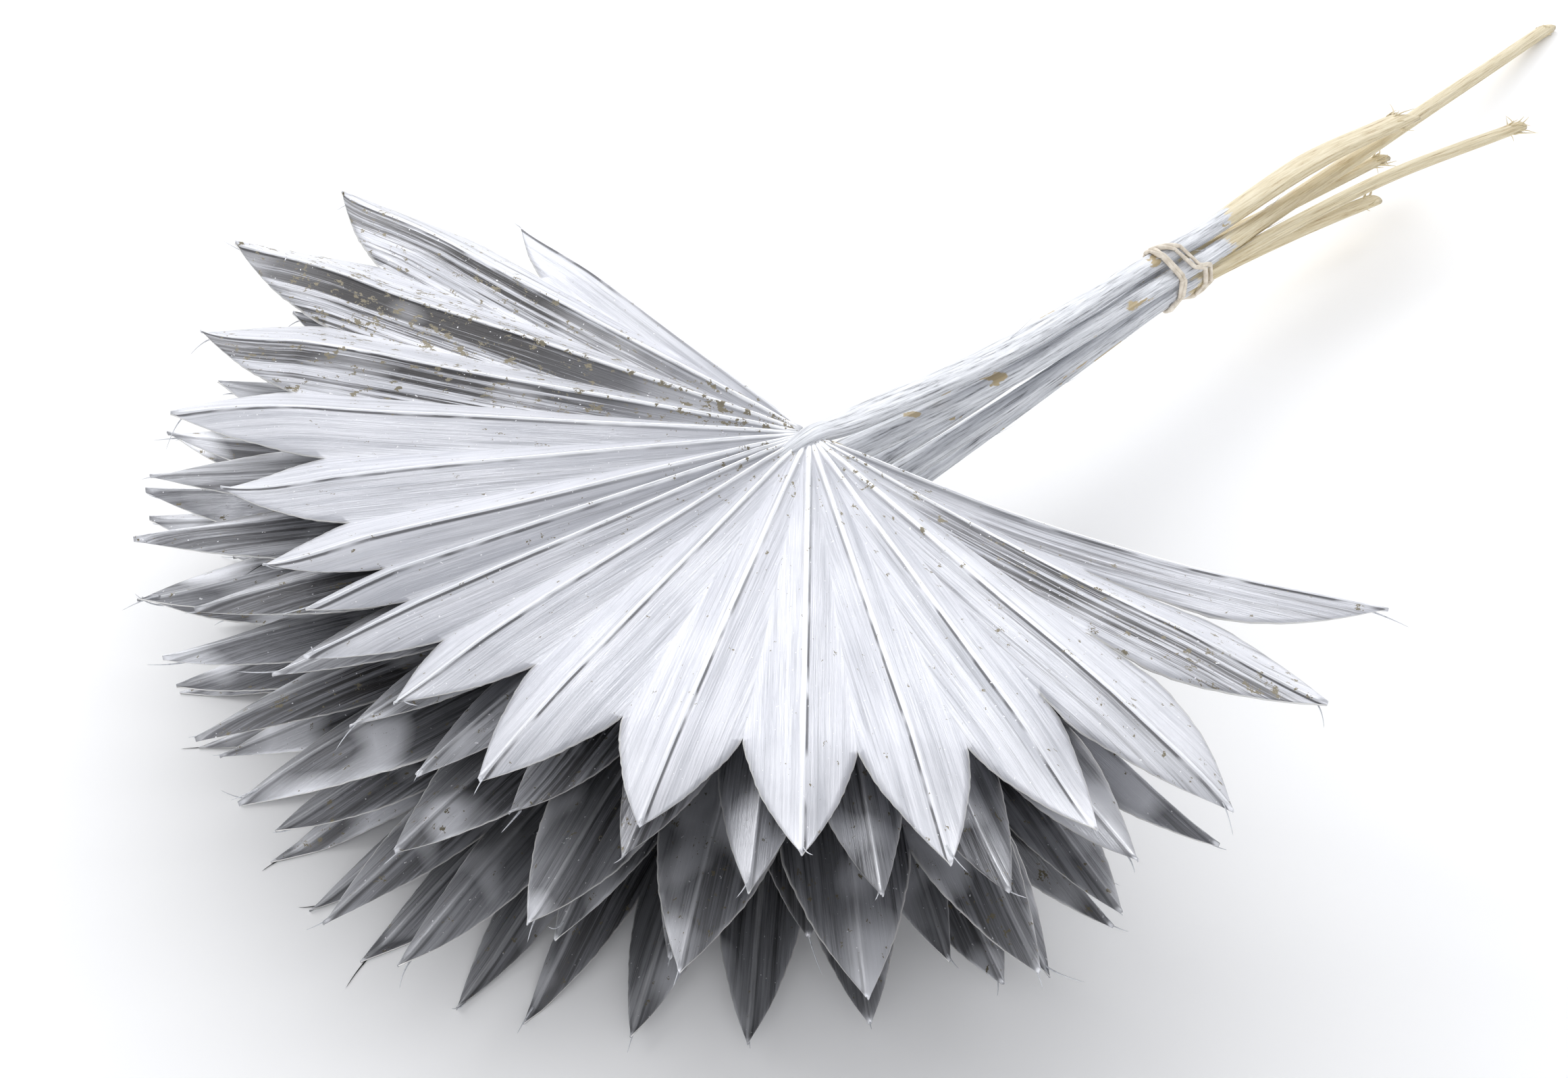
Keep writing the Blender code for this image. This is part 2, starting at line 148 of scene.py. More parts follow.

# Top leaf first. Each list runs from the right, round the front, to the left: the azimuths and
# lengths of the midribs, the notches between them as shares of the shorter neighbour, and the
# paint's wear, which also sets the painted dark reflection on the faces turned to the front and
# is drawn at random for the lower leaves. The rise of the tips is given in the three droop
# directions.
BLADES = [
    {"azimuths": [333, 319, 304, 293, 281, 269, 255, 240, 227, 217, 210, 203, 190, 177, 165, 152, 140, 130],
     "lengths": [172, 175, 185, 177, 175, 170, 165, 166, 157, 165, 155, 160, 166, 184, 187, 200, 192, 139],
     "notches": [0.52, 0.63, 0.69] + 5 * [0.77] + 9 * [0.83],
     "wear_and_shade": [0.45, 0.8, 0.4, 0.2, 0.1, 0.1, 0.1, 0.1, 0.15, 0.2, 0.2, 0.15, 0.15, 0.15,
              0.9, 1.15, 0.75, 0.2],
     "rise": (0, 0, 0)},
    {"azimuths": [308.5, 297, 286, 276, 265, 254, 243, 232, 223, 213, 202, 191, 182, 169, 155, 144],
     "lengths": [166, 179, 178, 172, 169, 166, 164, 162, 162, 168, 178, 190, 187, 176, 172, 161],
     "notches": LOWER_NOTCH, "rise": (2, 0, -2)},
    {"azimuths": [310, 298, 289, 275, 260, 247, 233, 219, 211, 202, 193, 180, 171, 156, 142],
     "lengths": [168, 172, 181, 181, 177, 176, 173, 189, 188, 187, 190, 189, 190, 174, 166],
     "notches": LOWER_NOTCH, "rise": (0, -8, -17)},
    {"azimuths": [302, 292, 284, 271, 258, 247, 237, 229, 219, 208, 198, 187, 176, 163, 152],
     "lengths": [150, 171, 160, 150, 158, 160, 187, 187, 178, 178, 182, 189, 192, 200, 194],
     "notches": LOWER_NOTCH, "rise": (-8, -18, -20)},
    {"azimuths": [303, 290, 277, 266, 255.5, 245.5, 239.5, 229, 221, 213.5, 205, 196, 188, 178, 168],
     "lengths": [155, 159, 162, 166, 167, 169, 173, 175, 173, 172, 171, 177, 181, 172, 176],
     "notches": LOWER_NOTCH, "rise": (-30, -34, -24)},
]


def hub_of(index):
    """Hub of a leaf of the stack: a fixed step down and a small drift for each leaf."""
    return TOP_HUB + index * np.array([HUB_DRIFT, HUB_DRIFT, -HUB_STEP])


def middle_height(index, azimuth, radius):
    """Height of the unpleated blade: the hub, plus the rise of its tips in that direction times
    the share of the radius to the droop power, less a half sine of sag in the last segments."""
    reach = radius / REFERENCE_RADIUS
    degrees = np.degrees(azimuth)
    rise = np.interp(degrees, DROOP_DIRECTIONS, BLADES[index]["rise"])
    side = np.clip((degrees - SIDE_SAG_START) / SIDE_SAG_RANGE, 0.0, 1.0)
    sag = SIDE_SAG * side * np.sin(math.pi * np.minimum(1.0, reach))
    return hub_of(index)[2] + rise * reach ** DROOP_POWER - sag


def segment_grid(index, azimuth, length, edges, notches, wear_and_shade, draw):
    """One segment's sheet, as rows from hub to tip by columns from side to side.

    Radius: from the blade's start to the notch line and on to the tip. Azimuth: the midrib's,
    plus the column's share of the way to the edge, a little narrower from the notch on and
    tapered to the tip from the taper's start by one less a power of the share of the rest.
    Height: the drooping blade, plus the pleat that is highest at the midrib and opens with the
    radius, plus the midrib's rounded ridge, plus a slow wave that is still at the shared edges,
    plus the curl of the tip.
    """
    column = np.linspace(-1.0, 1.0, COLUMNS)
    share = np.sign(column) * np.abs(column) ** COLUMN_CROWDING
    row = np.linspace(0.0, 1.0, ROWS)[:, None]
    inner = np.clip(row / NOTCH_ROW_SHARE, 0.0, 1.0)
    free = np.clip((row - NOTCH_ROW_SHARE) / (1.0 - NOTCH_ROW_SHARE), 0.0, 1.0)
    side = (share > 0).astype(int)
    edge = np.asarray(edges)[side]
    notch = np.asarray(notches)[side]
    base = 0.5 * (notches[0] + notches[1])
    notch_line = base + (notch - base) * np.abs(share)
    radius = BLADE_START + (notch_line - BLADE_START) * inner + (length - notch_line) * free

    start = np.maximum(notch_line, TAPER_START * length)
    taper = np.clip((radius - start) / (length - start), 0.0, 1.0)
    width = 1.0 - EARLY_TAPER * free - (1.0 - EARLY_TAPER) * taper ** TAPER_CURVE
    phase = draw.uniform(0.0, 2.0 * math.pi, 4)
    ragged = np.sin(free * RAGGED_TURNS[0] + phase[0]) * np.sin(free * RAGGED_TURNS[1] + phase[1])
    width = np.maximum(width * (1.0 + EDGE_WAVE * ragged * np.sin(math.pi * free)), TIP_WIDTH_SHARE)
    angle = azimuth + (edge - azimuth) * np.abs(share) * width

    opening = np.clip((radius - BLADE_START) / PLEAT_START, 0.0, 1.0)
    fold = PLEAT_RISE * opening * radius
    across = radius * np.abs(edge - azimuth) * np.abs(share) * width
    half = np.maximum(radius * np.abs(edge - azimuth) * width, LEAST_HALF_WIDTH)
    slope = np.abs(share) ** PLEAT_ROUNDING
    height = middle_height(index, angle, radius) + fold * width * (1.0 - 2.0 * slope)
    fade = 1.0 - RIB_FADE * radius / length
    ridge = RIB_RISE * fade * opening * np.exp(-(across / RIB_HALF_WIDTH) ** 2)
    height = height + ridge * (1.0 - np.abs(share) ** 4)
    still = 1.0 - np.abs(share) ** 2 * (1.0 - free)
    slow = np.sin(radius / WAVE_STEPS[0] + phase[2])
    quick = np.sin(radius / WAVE_STEPS[1] + phase[3] + QUICK_WAVE_SKEW * share)
    wave = slow + QUICK_WAVE_SHARE * quick
    height = height + WAVE_RISE * still * wave * (radius / REFERENCE_RADIUS) ** 2
    height = height + draw.uniform(*TIP_CURL_RANGE) * TIP_CURL * taper ** 4
    height = np.maximum(height, LOWEST_SHEET)

    hub = hub_of(index)
    points = np.stack([hub[0] + radius * np.cos(angle), hub[1] + radius * np.sin(angle), height], axis=-1)
    values = {
        "across": across,
        "front": np.sign(share) * across * (1.0 if azimuth < FRONT_AZIMUTH else -1.0),
        "along": radius,
        "edge": np.minimum(1.0, across / half),
        "tip": np.broadcast_to(free, radius.shape),
        "tone": np.full(radius.shape, draw.uniform(0.0, 1.0)),
        "wear_and_shade": np.full(radius.shape, wear_and_shade),
    }
    return points, values


def grid_faces(rows, columns):
    """Four-cornered faces of a grid of points, row after row, facing up for rows that run out
    from the hub and columns that run against the clock."""
    number = np.arange(rows * columns).reshape(rows, columns)
    corners = [number[:-1, :-1], number[:-1, 1:], number[1:, 1:], number[1:, :-1]]
    return np.stack(corners, axis=-1).reshape(-1, 4)


def mesh_piece(name, points, faces, values, weld):
    """A new object of the given points in millimetres, with one number a point for each value.
    The numbers are kept at the faces' corners, so that merged points don't mix the values of
    two segments. Points are held inside the solids' box with a margin for half a sheet, and those
    nearer to each other than the weld distance are merged."""
    mesh = bpy.data.meshes.new(name)
    lowest = np.array(cad_box[0]) / MM + BOX_MARGIN
    highest = np.array(cad_box[1]) / MM - BOX_MARGIN
    points = np.clip(points, lowest, highest)
    mesh.from_pydata((points * MM).tolist(), [], faces.tolist())
    for label, numbers in values.items():
        layer = mesh.attributes.new(label, "FLOAT", "CORNER")
        layer.data.foreach_set("value", np.asarray(numbers, np.float32).ravel()[faces.ravel()])
    shape = bmesh.new()
    shape.from_mesh(mesh)
    bmesh.ops.remove_doubles(shape, verts=shape.verts, dist=weld * MM)
    bmesh.ops.dissolve_degenerate(shape, edges=shape.edges, dist=weld * MM)
    shape.to_mesh(mesh)
    shape.free()
    mesh.shade_smooth()
    piece = bpy.data.objects.new(name, mesh)
    bpy.context.scene.collection.objects.link(piece)
    return piece


def blade_piece(index):
    """The whole blade of one leaf: its segments side by side, merged along their shared edges,
    and given the thickness of the dried sheet."""
    sizes = BLADES[index]
    azimuths = np.radians(sizes["azimuths"])
    lengths = np.array(sizes["lengths"], float)
    right, left = np.radians(OUTER_HALF_ANGLES)
    between = 0.5 * (azimuths[:-1] + azimuths[1:])
    edges = np.concatenate([[azimuths[0] + right], between, [azimuths[-1] - left]])
    shorter = np.minimum(lengths[:-1], lengths[1:]) * np.array(sizes["notches"])
    notches = np.concatenate([[lengths[0] * OUTER_NOTCH], shorter, [lengths[-1] * OUTER_NOTCH]])
    draw = np.random.default_rng(BLADE_SEED + index)
    wear_and_shade = draw.uniform(*LOWER_WEAR_AND_SHADE_RANGE, len(azimuths))
    wear_and_shade = sizes.get("wear_and_shade", wear_and_shade)
    all_points = []
    all_values = {"across": [], "front": [], "along": [], "edge": [], "tip": [], "tone": [], "wear_and_shade": []}
    all_faces = []
    for i, azimuth in enumerate(azimuths):
        points, values = segment_grid(index, azimuth, lengths[i], (edges[i + 1], edges[i]),
                                      (notches[i + 1], notches[i]), wear_and_shade[i], draw)
        all_faces.append(grid_faces(ROWS, COLUMNS)[:, ::-1] + i * ROWS * COLUMNS)
        all_points.append(points.reshape(-1, 3))
        for label, numbers in values.items():
            all_values[label].append(numbers.ravel())
    joined = {label: np.concatenate(numbers) for label, numbers in all_values.items()}
    piece = mesh_piece(f"leaf_blade_{index + 1}", np.concatenate(all_points), np.concatenate(all_faces),
                       joined, BLADE_WELD)
    sheet = piece.modifiers.new("sheet", "SOLIDIFY")
    sheet.thickness = SHEET_THICKNESS * MM
    sheet.offset = 0.0
    return piece


def linear(code):
    """The linear colour of an sRGB hex code."""
    parts = [int(code[i:i + 2], 16) / 255.0 for i in (1, 3, 5)]
    return [part / 12.92 if part <= 0.04045 else ((part + 0.055) / 1.055) ** 2.4 for part in parts] + [1.0]


def add_node(material, kind, settings=None, links=None):
    """Add one shader node, set its properties and inputs, and link inputs to other sockets."""
    node = material.node_tree.nodes.new(kind)
    for label, value in (settings or {}).items():
        if isinstance(label, str) and hasattr(node, label):
            setattr(node, label, value)
        else:
            node.inputs[label].default_value = value
    for label, socket in (links or {}).items():
        material.node_tree.links.new(socket, node.inputs[label])
    return node


def ramp(material, factor, stops):
    """A colour ramp through the given places and colours."""
    node = add_node(material, "ShaderNodeValToRGB", links={0: factor})
    while len(node.color_ramp.elements) < len(stops):
        node.color_ramp.elements.new(0.5)
    for element, (place, colour) in zip(node.color_ramp.elements, stops):
        element.position = place
        element.color = colour
    return node.outputs["Color"]


def new_material(name):
    """A material with its Principled shader."""
    material = bpy.data.materials.new(name)
    material.use_nodes = True
    return material, material.node_tree.nodes["Principled BSDF"]


def attribute(material, label):
    """The value of a float attribute of the mesh."""
    return add_node(material, "ShaderNodeAttribute", {"attribute_name": label}).outputs["Fac"]


def join(material, operation, first, second):
    """Two values put together by one step of arithmetic. The second may be a plain number."""
    settings = {"operation": operation}
    links = {0: first}
    if isinstance(second, float):
        settings[1] = second
    else:
        links[1] = second
    return add_node(material, "ShaderNodeMath", settings, links).outputs[0]


def times(material, first, second):
    """The product of two values, or of a value and a plain number."""
    return join(material, "MULTIPLY", first, second)


def plus(material, first, second):
    """The sum of two values, or of a value and a plain number."""
    return join(material, "ADD", first, second)


def streak_noise(material, scales, detail, roughness):
    """Noise in the leaf's own two directions: across and along a segment, one pattern for each
    segment. The scales are cycles for each millimetre across and along."""
    place = add_node(material, "ShaderNodeCombineXYZ",
                     links={"X": attribute(material, "front"), "Y": attribute(material, "along")}).outputs[0]
    scaled = add_node(material, "ShaderNodeVectorMath", {"operation": "MULTIPLY", 1: (*scales, 1.0)},
                      {0: place}).outputs[0]
    apart = times(material, attribute(material, "tone"), PATTERN_STEP)
    noise = add_node(material, "ShaderNodeTexNoise",
                     {"noise_dimensions": "4D", "Scale": 1.0, "Detail": detail, "Roughness": roughness},
                     {"Vector": scaled, "W": apart})
    return noise.outputs["Fac"]


def span(material, value, low, high, to_low=0.0, to_high=1.0):
    """A value carried from one range to another and held at its ends."""
    return add_node(material, "ShaderNodeMapRange", {"From Min": low, "From Max": high, "To Min": to_low,
                                                     "To Max": to_high}, {"Value": value}).outputs[0]


def cover(material, share, first, code):
    """The first colour, covered by a plain one in the given share."""
    return add_node(material, "ShaderNodeMix", {"data_type": "RGBA", "clamp_factor": True, 7: linear(code)},
                    {0: share, 6: first}).outputs[2]


def silver_on_leaf(name, bright, dull_and_shaded, band, rib_highlight, line, metal):
    """Aluminium spray paint over dried palm leaf: flakes of aluminium in a thin lacquer that shines
    like satin metal. Fine lengthwise veins break the light into streaks, the paint wears thin in
    spots, where the brown leaf shows, and the slit rims are pale. Dark streaks close to the
    midribs on the faces turned to the front are painted dark reflection and shade, soft bright
    bands are painted sheen, and the midrib has a painted highlight with a line of painted shade
    beside it. The band, rib and line arguments set how strong these three are, and the dark colour
    of the ramp is also painted shade on the lower leaves."""
    material, shader = new_material(name)
    along = attribute(material, "along")
    across = attribute(material, "across")
    beside = attribute(material, "front")
    wear_and_shade = attribute(material, "wear_and_shade")
    veins = streak_noise(material, *VEINS)
    streaks = streak_noise(material, *STREAKS)
    mixed = times(material, plus(material, veins, streaks), 0.65)
    colour = ramp(material, mixed, [(0.5, linear(dull_and_shaded)), (0.72, linear(bright))])
    # Painted dark reflection and shade: hard dark streaks on the side that is turned to the front,
    # close to the midrib, strongest on segments with a high wear value.
    painted_dark_streaks = streak_noise(material, *DARK_REFLECTION_STREAKS)
    front = times(material, span(material, beside, 0.0, 0.8), span(material, beside, 5.0, 13.0, 1.0, 0.4))
    painted_dark_streaks = plus(material, painted_dark_streaks, times(material, times(material, front, wear_and_shade), 0.17))
    past_hub = span(material, along, 15.0, 60.0, 0.1, 0.95)
    painted_dark_share = times(material, span(material, painted_dark_streaks, 0.55, 0.66), past_hub)
    painted_dark_share = times(material, painted_dark_share, span(material, wear_and_shade, 0.1, 0.7, 0.2, 1.0))
    # This dark colour is painted dark reflection and shade, not paint.
    colour = cover(material, painted_dark_share, colour, PAINTED_DARK_REFLECTION_COLOUR)
    # Less paint reached the folds close to the hub.
    colour = cover(material, span(material, along, 95.0, 15.0, 0.0, 0.5), colour, HUB_FOLD_COLOUR)
    # Painted sheen: soft bright bands cross the lower leaves, set by the band argument. All tips are
    # paler.
    painted_sheen = streak_noise(material, *PAINTED_SHEEN_BANDS)
    painted_sheen_share = times(material, span(material, painted_sheen, 0.52, 0.64), band)
    colour = cover(material, painted_sheen_share, colour, PAINTED_SHEEN_COLOUR)
    colour = cover(material, times(material, attribute(material, "tip"), 0.3), colour, TIP_COLOUR)
    # The midrib has a painted highlight, a pale granular line, with painted shade, a dark line, on the
    # side turned to the front.
    grain = streak_noise(material, *RIB_GRAIN)
    # pale is the share of the painted highlight along the midrib.
    pale = times(material, span(material, across, 0.8, 0.4), span(material, grain, 0.32, 0.5, 0.45, 1.0))
    pale = times(material, pale, span(material, along, 150.0, 60.0, 0.35, 1.0))
    colour = cover(material, times(material, pale, rib_highlight), colour, RIB_PAINTED_HIGHLIGHT_COLOUR)
    # shade is the share of the painted shade beside the midrib, set by the line argument.
    shade = times(material, span(material, beside, 0.4, 0.55), span(material, beside, 1.3, 0.95))
    shade = times(material, shade, span(material, along, 30.0, 100.0, 0.25 * line, line))
    gaps = streak_noise(material, *RIB_GAPS)
    shade = times(material, shade, span(material, gaps, 0.36, 0.5))
    colour = cover(material, shade, colour, RIB_SHADE_COLOUR)
    # Spots of wear let the brown leaf through, most of all close to the hub and on segments with a
    # high wear value.
    spots = join(material, "SUBTRACT", streak_noise(material, *WORN_SPOTS),
                 span(material, along, 20.0, 60.0, 0.0, 0.05))
    spots = plus(material, spots, times(material, wear_and_shade, 0.075))
    colour = cover(material, span(material, spots, 0.61, 0.625), colour, BARE_LEAF_COLOUR)
    specks = streak_noise(material, *FLAKES)
    colour = cover(material, span(material, specks, 0.73, 0.76), colour, FLAKE_COLOUR)
    # The rims are pale and bare where the segments are slit apart.
    rim = times(material, span(material, attribute(material, "edge"), 0.955, 0.995),
                span(material, attribute(material, "tip"), 0.0, 0.03))
    colour = cover(material, rim, colour, SLIT_RIM_COLOUR)
    material.node_tree.links.new(colour, shader.inputs["Base Color"])
    material.node_tree.links.new(span(material, veins, 0.3, 0.8, 0.46, 0.26), shader.inputs["Roughness"])
    shader.inputs["Metallic"].default_value = metal
    relief = plus(material, veins, times(material, streaks, 0.8))
    bump = add_node(material, "ShaderNodeBump", {"Strength": 0.8, "Distance": 0.35 * MM}, {"Height": relief})
    material.node_tree.links.new(bump.outputs[0], shader.inputs["Normal"])
    return material


# The top leaf got most of the paint, the second one less, and those under them only a mist.
# The darker colours of the lower coats are also painted shade: lit and shaded copies of one
# aluminium paint.
LIT_AND_SHADED_COATS = [
    silver_on_leaf("aluminium spray paint, full coat on dried palm leaf", bright="#D6D7DD",
                   dull_and_shaded="#B4B6BD", band=0.25, rib_highlight=0.95, line=0.8, metal=0.5),
    silver_on_leaf("aluminium spray paint, thin coat on dried palm leaf", bright="#BEBFC4",
                   dull_and_shaded="#3C3C40", band=1.0, rib_highlight=0.65, line=0.4, metal=0.85),
    silver_on_leaf("aluminium spray paint, mist coat on dried palm leaf", bright="#96979C",
                   dull_and_shaded="#252528", band=1.0, rib_highlight=0.6, line=0.35, metal=0.85),
]
for index in range(len(BLADES)):
    blade = blade_piece(index)
    blade.data.materials.append(LIT_AND_SHADED_COATS[min(index, len(LIT_AND_SHADED_COATS) - 1)])
    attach(blade, "root")
    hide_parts(f"leaf_{index + 1}")

# The stems: each leaf's stalk, oval in section and broad at the hub, where it runs on as a
# short rib over its blade. They were sprayed with the leaves. The rubber band holds them all
# at one place, past which the bare straw of the stems spreads out to crushed, torn ends.
STEM_DIRECTION = math.radians(49.0)
BAND_DISTANCE = 184.0
BAND_HEIGHT = 34.0
BAND_SLOPE = -0.09
BUNDLE_BEFORE = 14.0
BUNDLE_AFTER = 24.0
RIB_REACH = 17.0
RIB_HEIGHT = -0.9
RIB_TIP_SIZE = (3.0, 1.2)
NECK_OFFSET = (0.8, -0.8, -0.4)
NECK_SIZE_SHARES = (0.75, 0.9)
SHOULDER_SHARE = 0.12
SHOULDER_DIP_SHARE = 0.4
MIDDLE_SHARE = 0.55
TIED_MIDDLE_KNOT = 5
STEM_SIDES = 36
STEM_ROW_STEP = 1.6
FIBRE_RELIEF = 0.16
STEM_PATTERN_STEP = 437.0
FIBRE_RIDGES = (5, 9, 14)
RIDGE_DRIFT = 0.8
RIDGE_DRIFT_RANGE = (25.0, 60.0)
RIDGE_SHARE_RANGE = (0.4, 1.0)
SPLAYED_DEPTH_SHARE = 0.9
CUT_DEPTH_SHARE = 0.8
CLOSING_LENGTH = 1.2
LEAST_RELIEF_SHARE = 0.001
STEM_WELD = 0.01
STEM_SEED = 200
PAINT_END_RAGGEDNESS = 30.0

STEM_FIBRES = ((1.8, 0.05), 5.0, 0.7)
PAINT_END_PATCHES = ((0.6, 0.09), 4.0, 0.6)
LOST_PAINT = ((0.11, 0.04), 4.0, 0.55)
PAINT_COLOURS = [(0.33, "#66676C"), (0.45, "#C6C8CD"), (0.6, "#E4E6EA")]
STRAW_COLOURS = [(0.3, "#9C7A55"), (0.42, "#CFC09C"), (0.6, "#E3D8BC")]
TAN_SKIN_COLOUR = "#B7A684"

# Widths are at the base, the middle, the tie, half way past it and the cut. The slot is the
# place in the tied bundle, across and up, and the end is measured from under the top leaf's hub.
# The stem dips before the tie and lifts past it, and its cut leans by the slant. The paint ends
# that far past the tie, and the torn strands are up to that long.
STEMS = [
    {"widths": (10.0, 10.0, 7.2, 10.0, 8.2), "depth": 4.8, "slot": (-3.1, 6.0), "dip": 5.0, "lift": 4.0,
     "end": (214, 249, 26), "slant": 7.0, "paint_end": 28.0, "torn": 8.0},
    {"widths": (11.0, 9.0, 6.6, 5.8, 5.2), "depth": 4.6, "slot": (3.5, 2.1), "dip": 4.4, "lift": 0.0,
     "end": (291, 357, 1.6), "slant": 4.0, "paint_end": 20.0, "torn": 3.0},
    {"widths": (9.0, 7.0, 5.2, 5.0, 4.6), "depth": 4.2, "slot": (-3.5, -0.8), "dip": 3.2, "lift": 0.0,
     "end": (208, 245, 12), "slant": 3.0, "paint_end": 3.0, "torn": 7.0},
    {"widths": (9.0, 7.0, 5.0, 4.4, 4.2), "depth": 4.2, "slot": (4.3, -3.4), "dip": 2.4, "lift": 4.5,
     "end": (258, 251, 22), "slant": 1.0, "paint_end": 1.0, "torn": 8.0},
    {"widths": (8.0, 6.6, 5.6, 5.2, 5.0), "depth": 4.6, "slot": (1.2, -8.4), "dip": 0.6, "lift": 1.0,
     "end": (201, 216, 13), "slant": 1.5, "paint_end": 0.0, "torn": 5.0},
]


def band_point(across, up, along):
    """A point of the tied bundle: across, up and along its direction from its middle, which lies
    at the band's distance from the top leaf's hub and at the band's height above the floor.
    Arrays give an array of points."""
    direction = np.array([math.cos(STEM_DIRECTION), math.sin(STEM_DIRECTION), BAND_SLOPE])
    sideways = np.array([math.sin(STEM_DIRECTION), -math.cos(STEM_DIRECTION), 0.0])
    middle = np.array([TOP_HUB[0], TOP_HUB[1], BAND_HEIGHT]) + BAND_DISTANCE * direction * (1.0, 1.0, 0.0)
    parts = np.broadcast_arrays(along, across, up)
    return middle + (parts[0][..., None] * direction + parts[1][..., None] * sideways
                     + parts[2][..., None] * np.array([0.0, 0.0, 1.0]))


def smooth_route(knots, step):
    """Points about a step apart on a smooth curve through the knots. Between two knots it is the
    cubic whose slope at each is half the way from the knot before to the knot after."""
    knots = np.array(knots, float)
    ends = np.vstack([2.0 * knots[0] - knots[1], knots, 2.0 * knots[-1] - knots[-2]])
    stretches = []
    for before, start, finish, after in zip(ends[:-3], ends[1:-2], ends[2:-1], ends[3:]):
        count = max(2, round(float(np.linalg.norm(finish - start)) / step))
        t = np.linspace(0.0, 1.0, count, endpoint=False)[:, None]
        stretches.append(0.5 * (2.0 * start + (finish - before) * t
                                + (2.0 * before - 5.0 * start + 4.0 * finish - after) * t ** 2
                                + (3.0 * start - before - 3.0 * finish + after) * t ** 3))
    return np.vstack(stretches + [knots[-1:]])


def run_of(points):
    """Distance run along the points up to each of them."""
    return np.concatenate([[0.0], np.cumsum(np.linalg.norm(np.diff(points, axis=0), axis=1))])


def stem_surface(index):
    """One stem's skin, as rings of an oval along its smooth route, drawn in to a point at both
    ends. The radius of each ring has fine lengthwise ridges added, which drift slowly round the
    stem, and the last ring leans by the slant."""
    sizes = STEMS[index]
    hub = hub_of(index)
    rib_azimuth = STEM_DIRECTION + math.pi
    rib_tip = hub + RIB_REACH * np.array([math.cos(rib_azimuth), math.sin(rib_azimuth), 0.0])
    rib_tip[2] = middle_height(index, rib_azimuth, RIB_REACH) + RIB_HEIGHT
    neck = hub + np.array(NECK_OFFSET)
    end = np.array(sizes["end"], float) + np.array([TOP_HUB[0], TOP_HUB[1], 0.0])
    tied_in, tied_middle, tied_out = band_point(
        *sizes["slot"], np.array([-BUNDLE_BEFORE, 0.5 * (BUNDLE_AFTER - BUNDLE_BEFORE), BUNDLE_AFTER]))
    half_way = 0.5 * (tied_out + end) + np.array([0.0, 0.0, sizes["lift"]])
    dip = np.array([0.0, 0.0, sizes["dip"]])
    shoulder = neck + (tied_in - neck) * SHOULDER_SHARE - SHOULDER_DIP_SHARE * dip
    knots = np.array([rib_tip, neck, shoulder, neck + (tied_in - neck) * MIDDLE_SHARE - dip,
                      tied_in, tied_middle, tied_out, half_way, end])
    centres = smooth_route(knots, STEM_ROW_STEP)
    run = run_of(centres)
    places = run_of(knots) * run[-1] / run_of(knots)[-1]
    base, middle, tied, splayed, cut = sizes["widths"]
    deep = sizes["depth"]
    widths = np.interp(run, places, [RIB_TIP_SIZE[0], NECK_SIZE_SHARES[0] * base, base, middle,
                                     tied, tied, tied, splayed, cut])
    depths = np.interp(run, places, [RIB_TIP_SIZE[1], NECK_SIZE_SHARES[1] * deep, deep, deep,
                                     deep, deep, deep, SPLAYED_DEPTH_SHARE * deep,
                                     CUT_DEPTH_SHARE * deep])
    forward = np.gradient(centres, axis=0)
    forward /= np.linalg.norm(forward, axis=1, keepdims=True)
    sideways = np.cross(forward, (0.0, 0.0, 1.0))
    sideways /= np.linalg.norm(sideways, axis=1, keepdims=True)
    upward = np.cross(sideways, forward)
    turn = np.linspace(0.0, 2.0 * math.pi, STEM_SIDES, endpoint=False)[None, :]
    draw = np.random.default_rng(STEM_SEED + index)
    relief = np.zeros((len(centres), STEM_SIDES))
    for ridges in FIBRE_RIDGES:
        phase = draw.uniform(0.0, 2.0 * math.pi)
        drift = phase + RIDGE_DRIFT * np.sin(run / draw.uniform(*RIDGE_DRIFT_RANGE))[:, None]
        relief += FIBRE_RELIEF * draw.uniform(*RIDGE_SHARE_RANGE) * np.sin(ridges * turn + drift)
    from_end = np.minimum(run, run[-1] - run)
    relief *= np.minimum(1.0, from_end / CLOSING_LENGTH + LEAST_RELIEF_SHARE)[:, None]
    round_x = (0.5 * widths[:, None] + relief) * np.cos(turn)
    round_y = (0.5 * depths[:, None] + relief) * np.sin(turn)
    lean = np.where(np.arange(len(run)) == len(run) - 1, sizes["slant"], 0.0)[:, None] * np.cos(turn)
    points = (centres[:, None, :] + round_x[..., None] * sideways[:, None, :]
              + round_y[..., None] * upward[:, None, :] + lean[..., None] * forward[:, None, :])
    points = np.concatenate([np.broadcast_to(centres[:1, None, :], (1, STEM_SIDES, 3)), points,
                             np.broadcast_to(centres[-1:, None, :], (1, STEM_SIDES, 3))])
    run = np.concatenate([run[:1], run, run[-1:]])
    past_band = run - places[TIED_MIDDLE_KNOT]
    values = {
        "around": np.broadcast_to(turn * 0.25 * base, points.shape[:2]),
        "along": np.broadcast_to(run[:, None] + STEM_PATTERN_STEP * index, points.shape[:2]),
        "past_paint": np.broadcast_to((past_band - sizes["paint_end"])[:, None], points.shape[:2]),
    }
    return points, values


def ring_faces(rows, sides):
    """Four-cornered faces of rings of points, closed round each ring."""
    number = np.arange(rows * sides).reshape(rows, sides)
    following = np.roll(number, -1, axis=1)
    return np.stack([number[:-1], following[:-1], following[1:], number[1:]], axis=-1).reshape(-1, 4)


def noise_at(material, place, scales, detail, roughness):
    """Noise at a place on a stem. The scales are cycles for each millimetre round and along it."""
    scaled = add_node(material, "ShaderNodeVectorMath", {"operation": "MULTIPLY", 1: (*scales, 1.0)},
                      {0: place}).outputs[0]
    noise = add_node(material, "ShaderNodeTexNoise", {"Scale": 1.0, "Detail": detail, "Roughness": roughness},
                     {"Vector": scaled})
    return noise.outputs["Fac"]


def coded(stops):
    """Places and hex codes as places and linear colours."""
    return [(place, linear(code)) for place, code in stops]


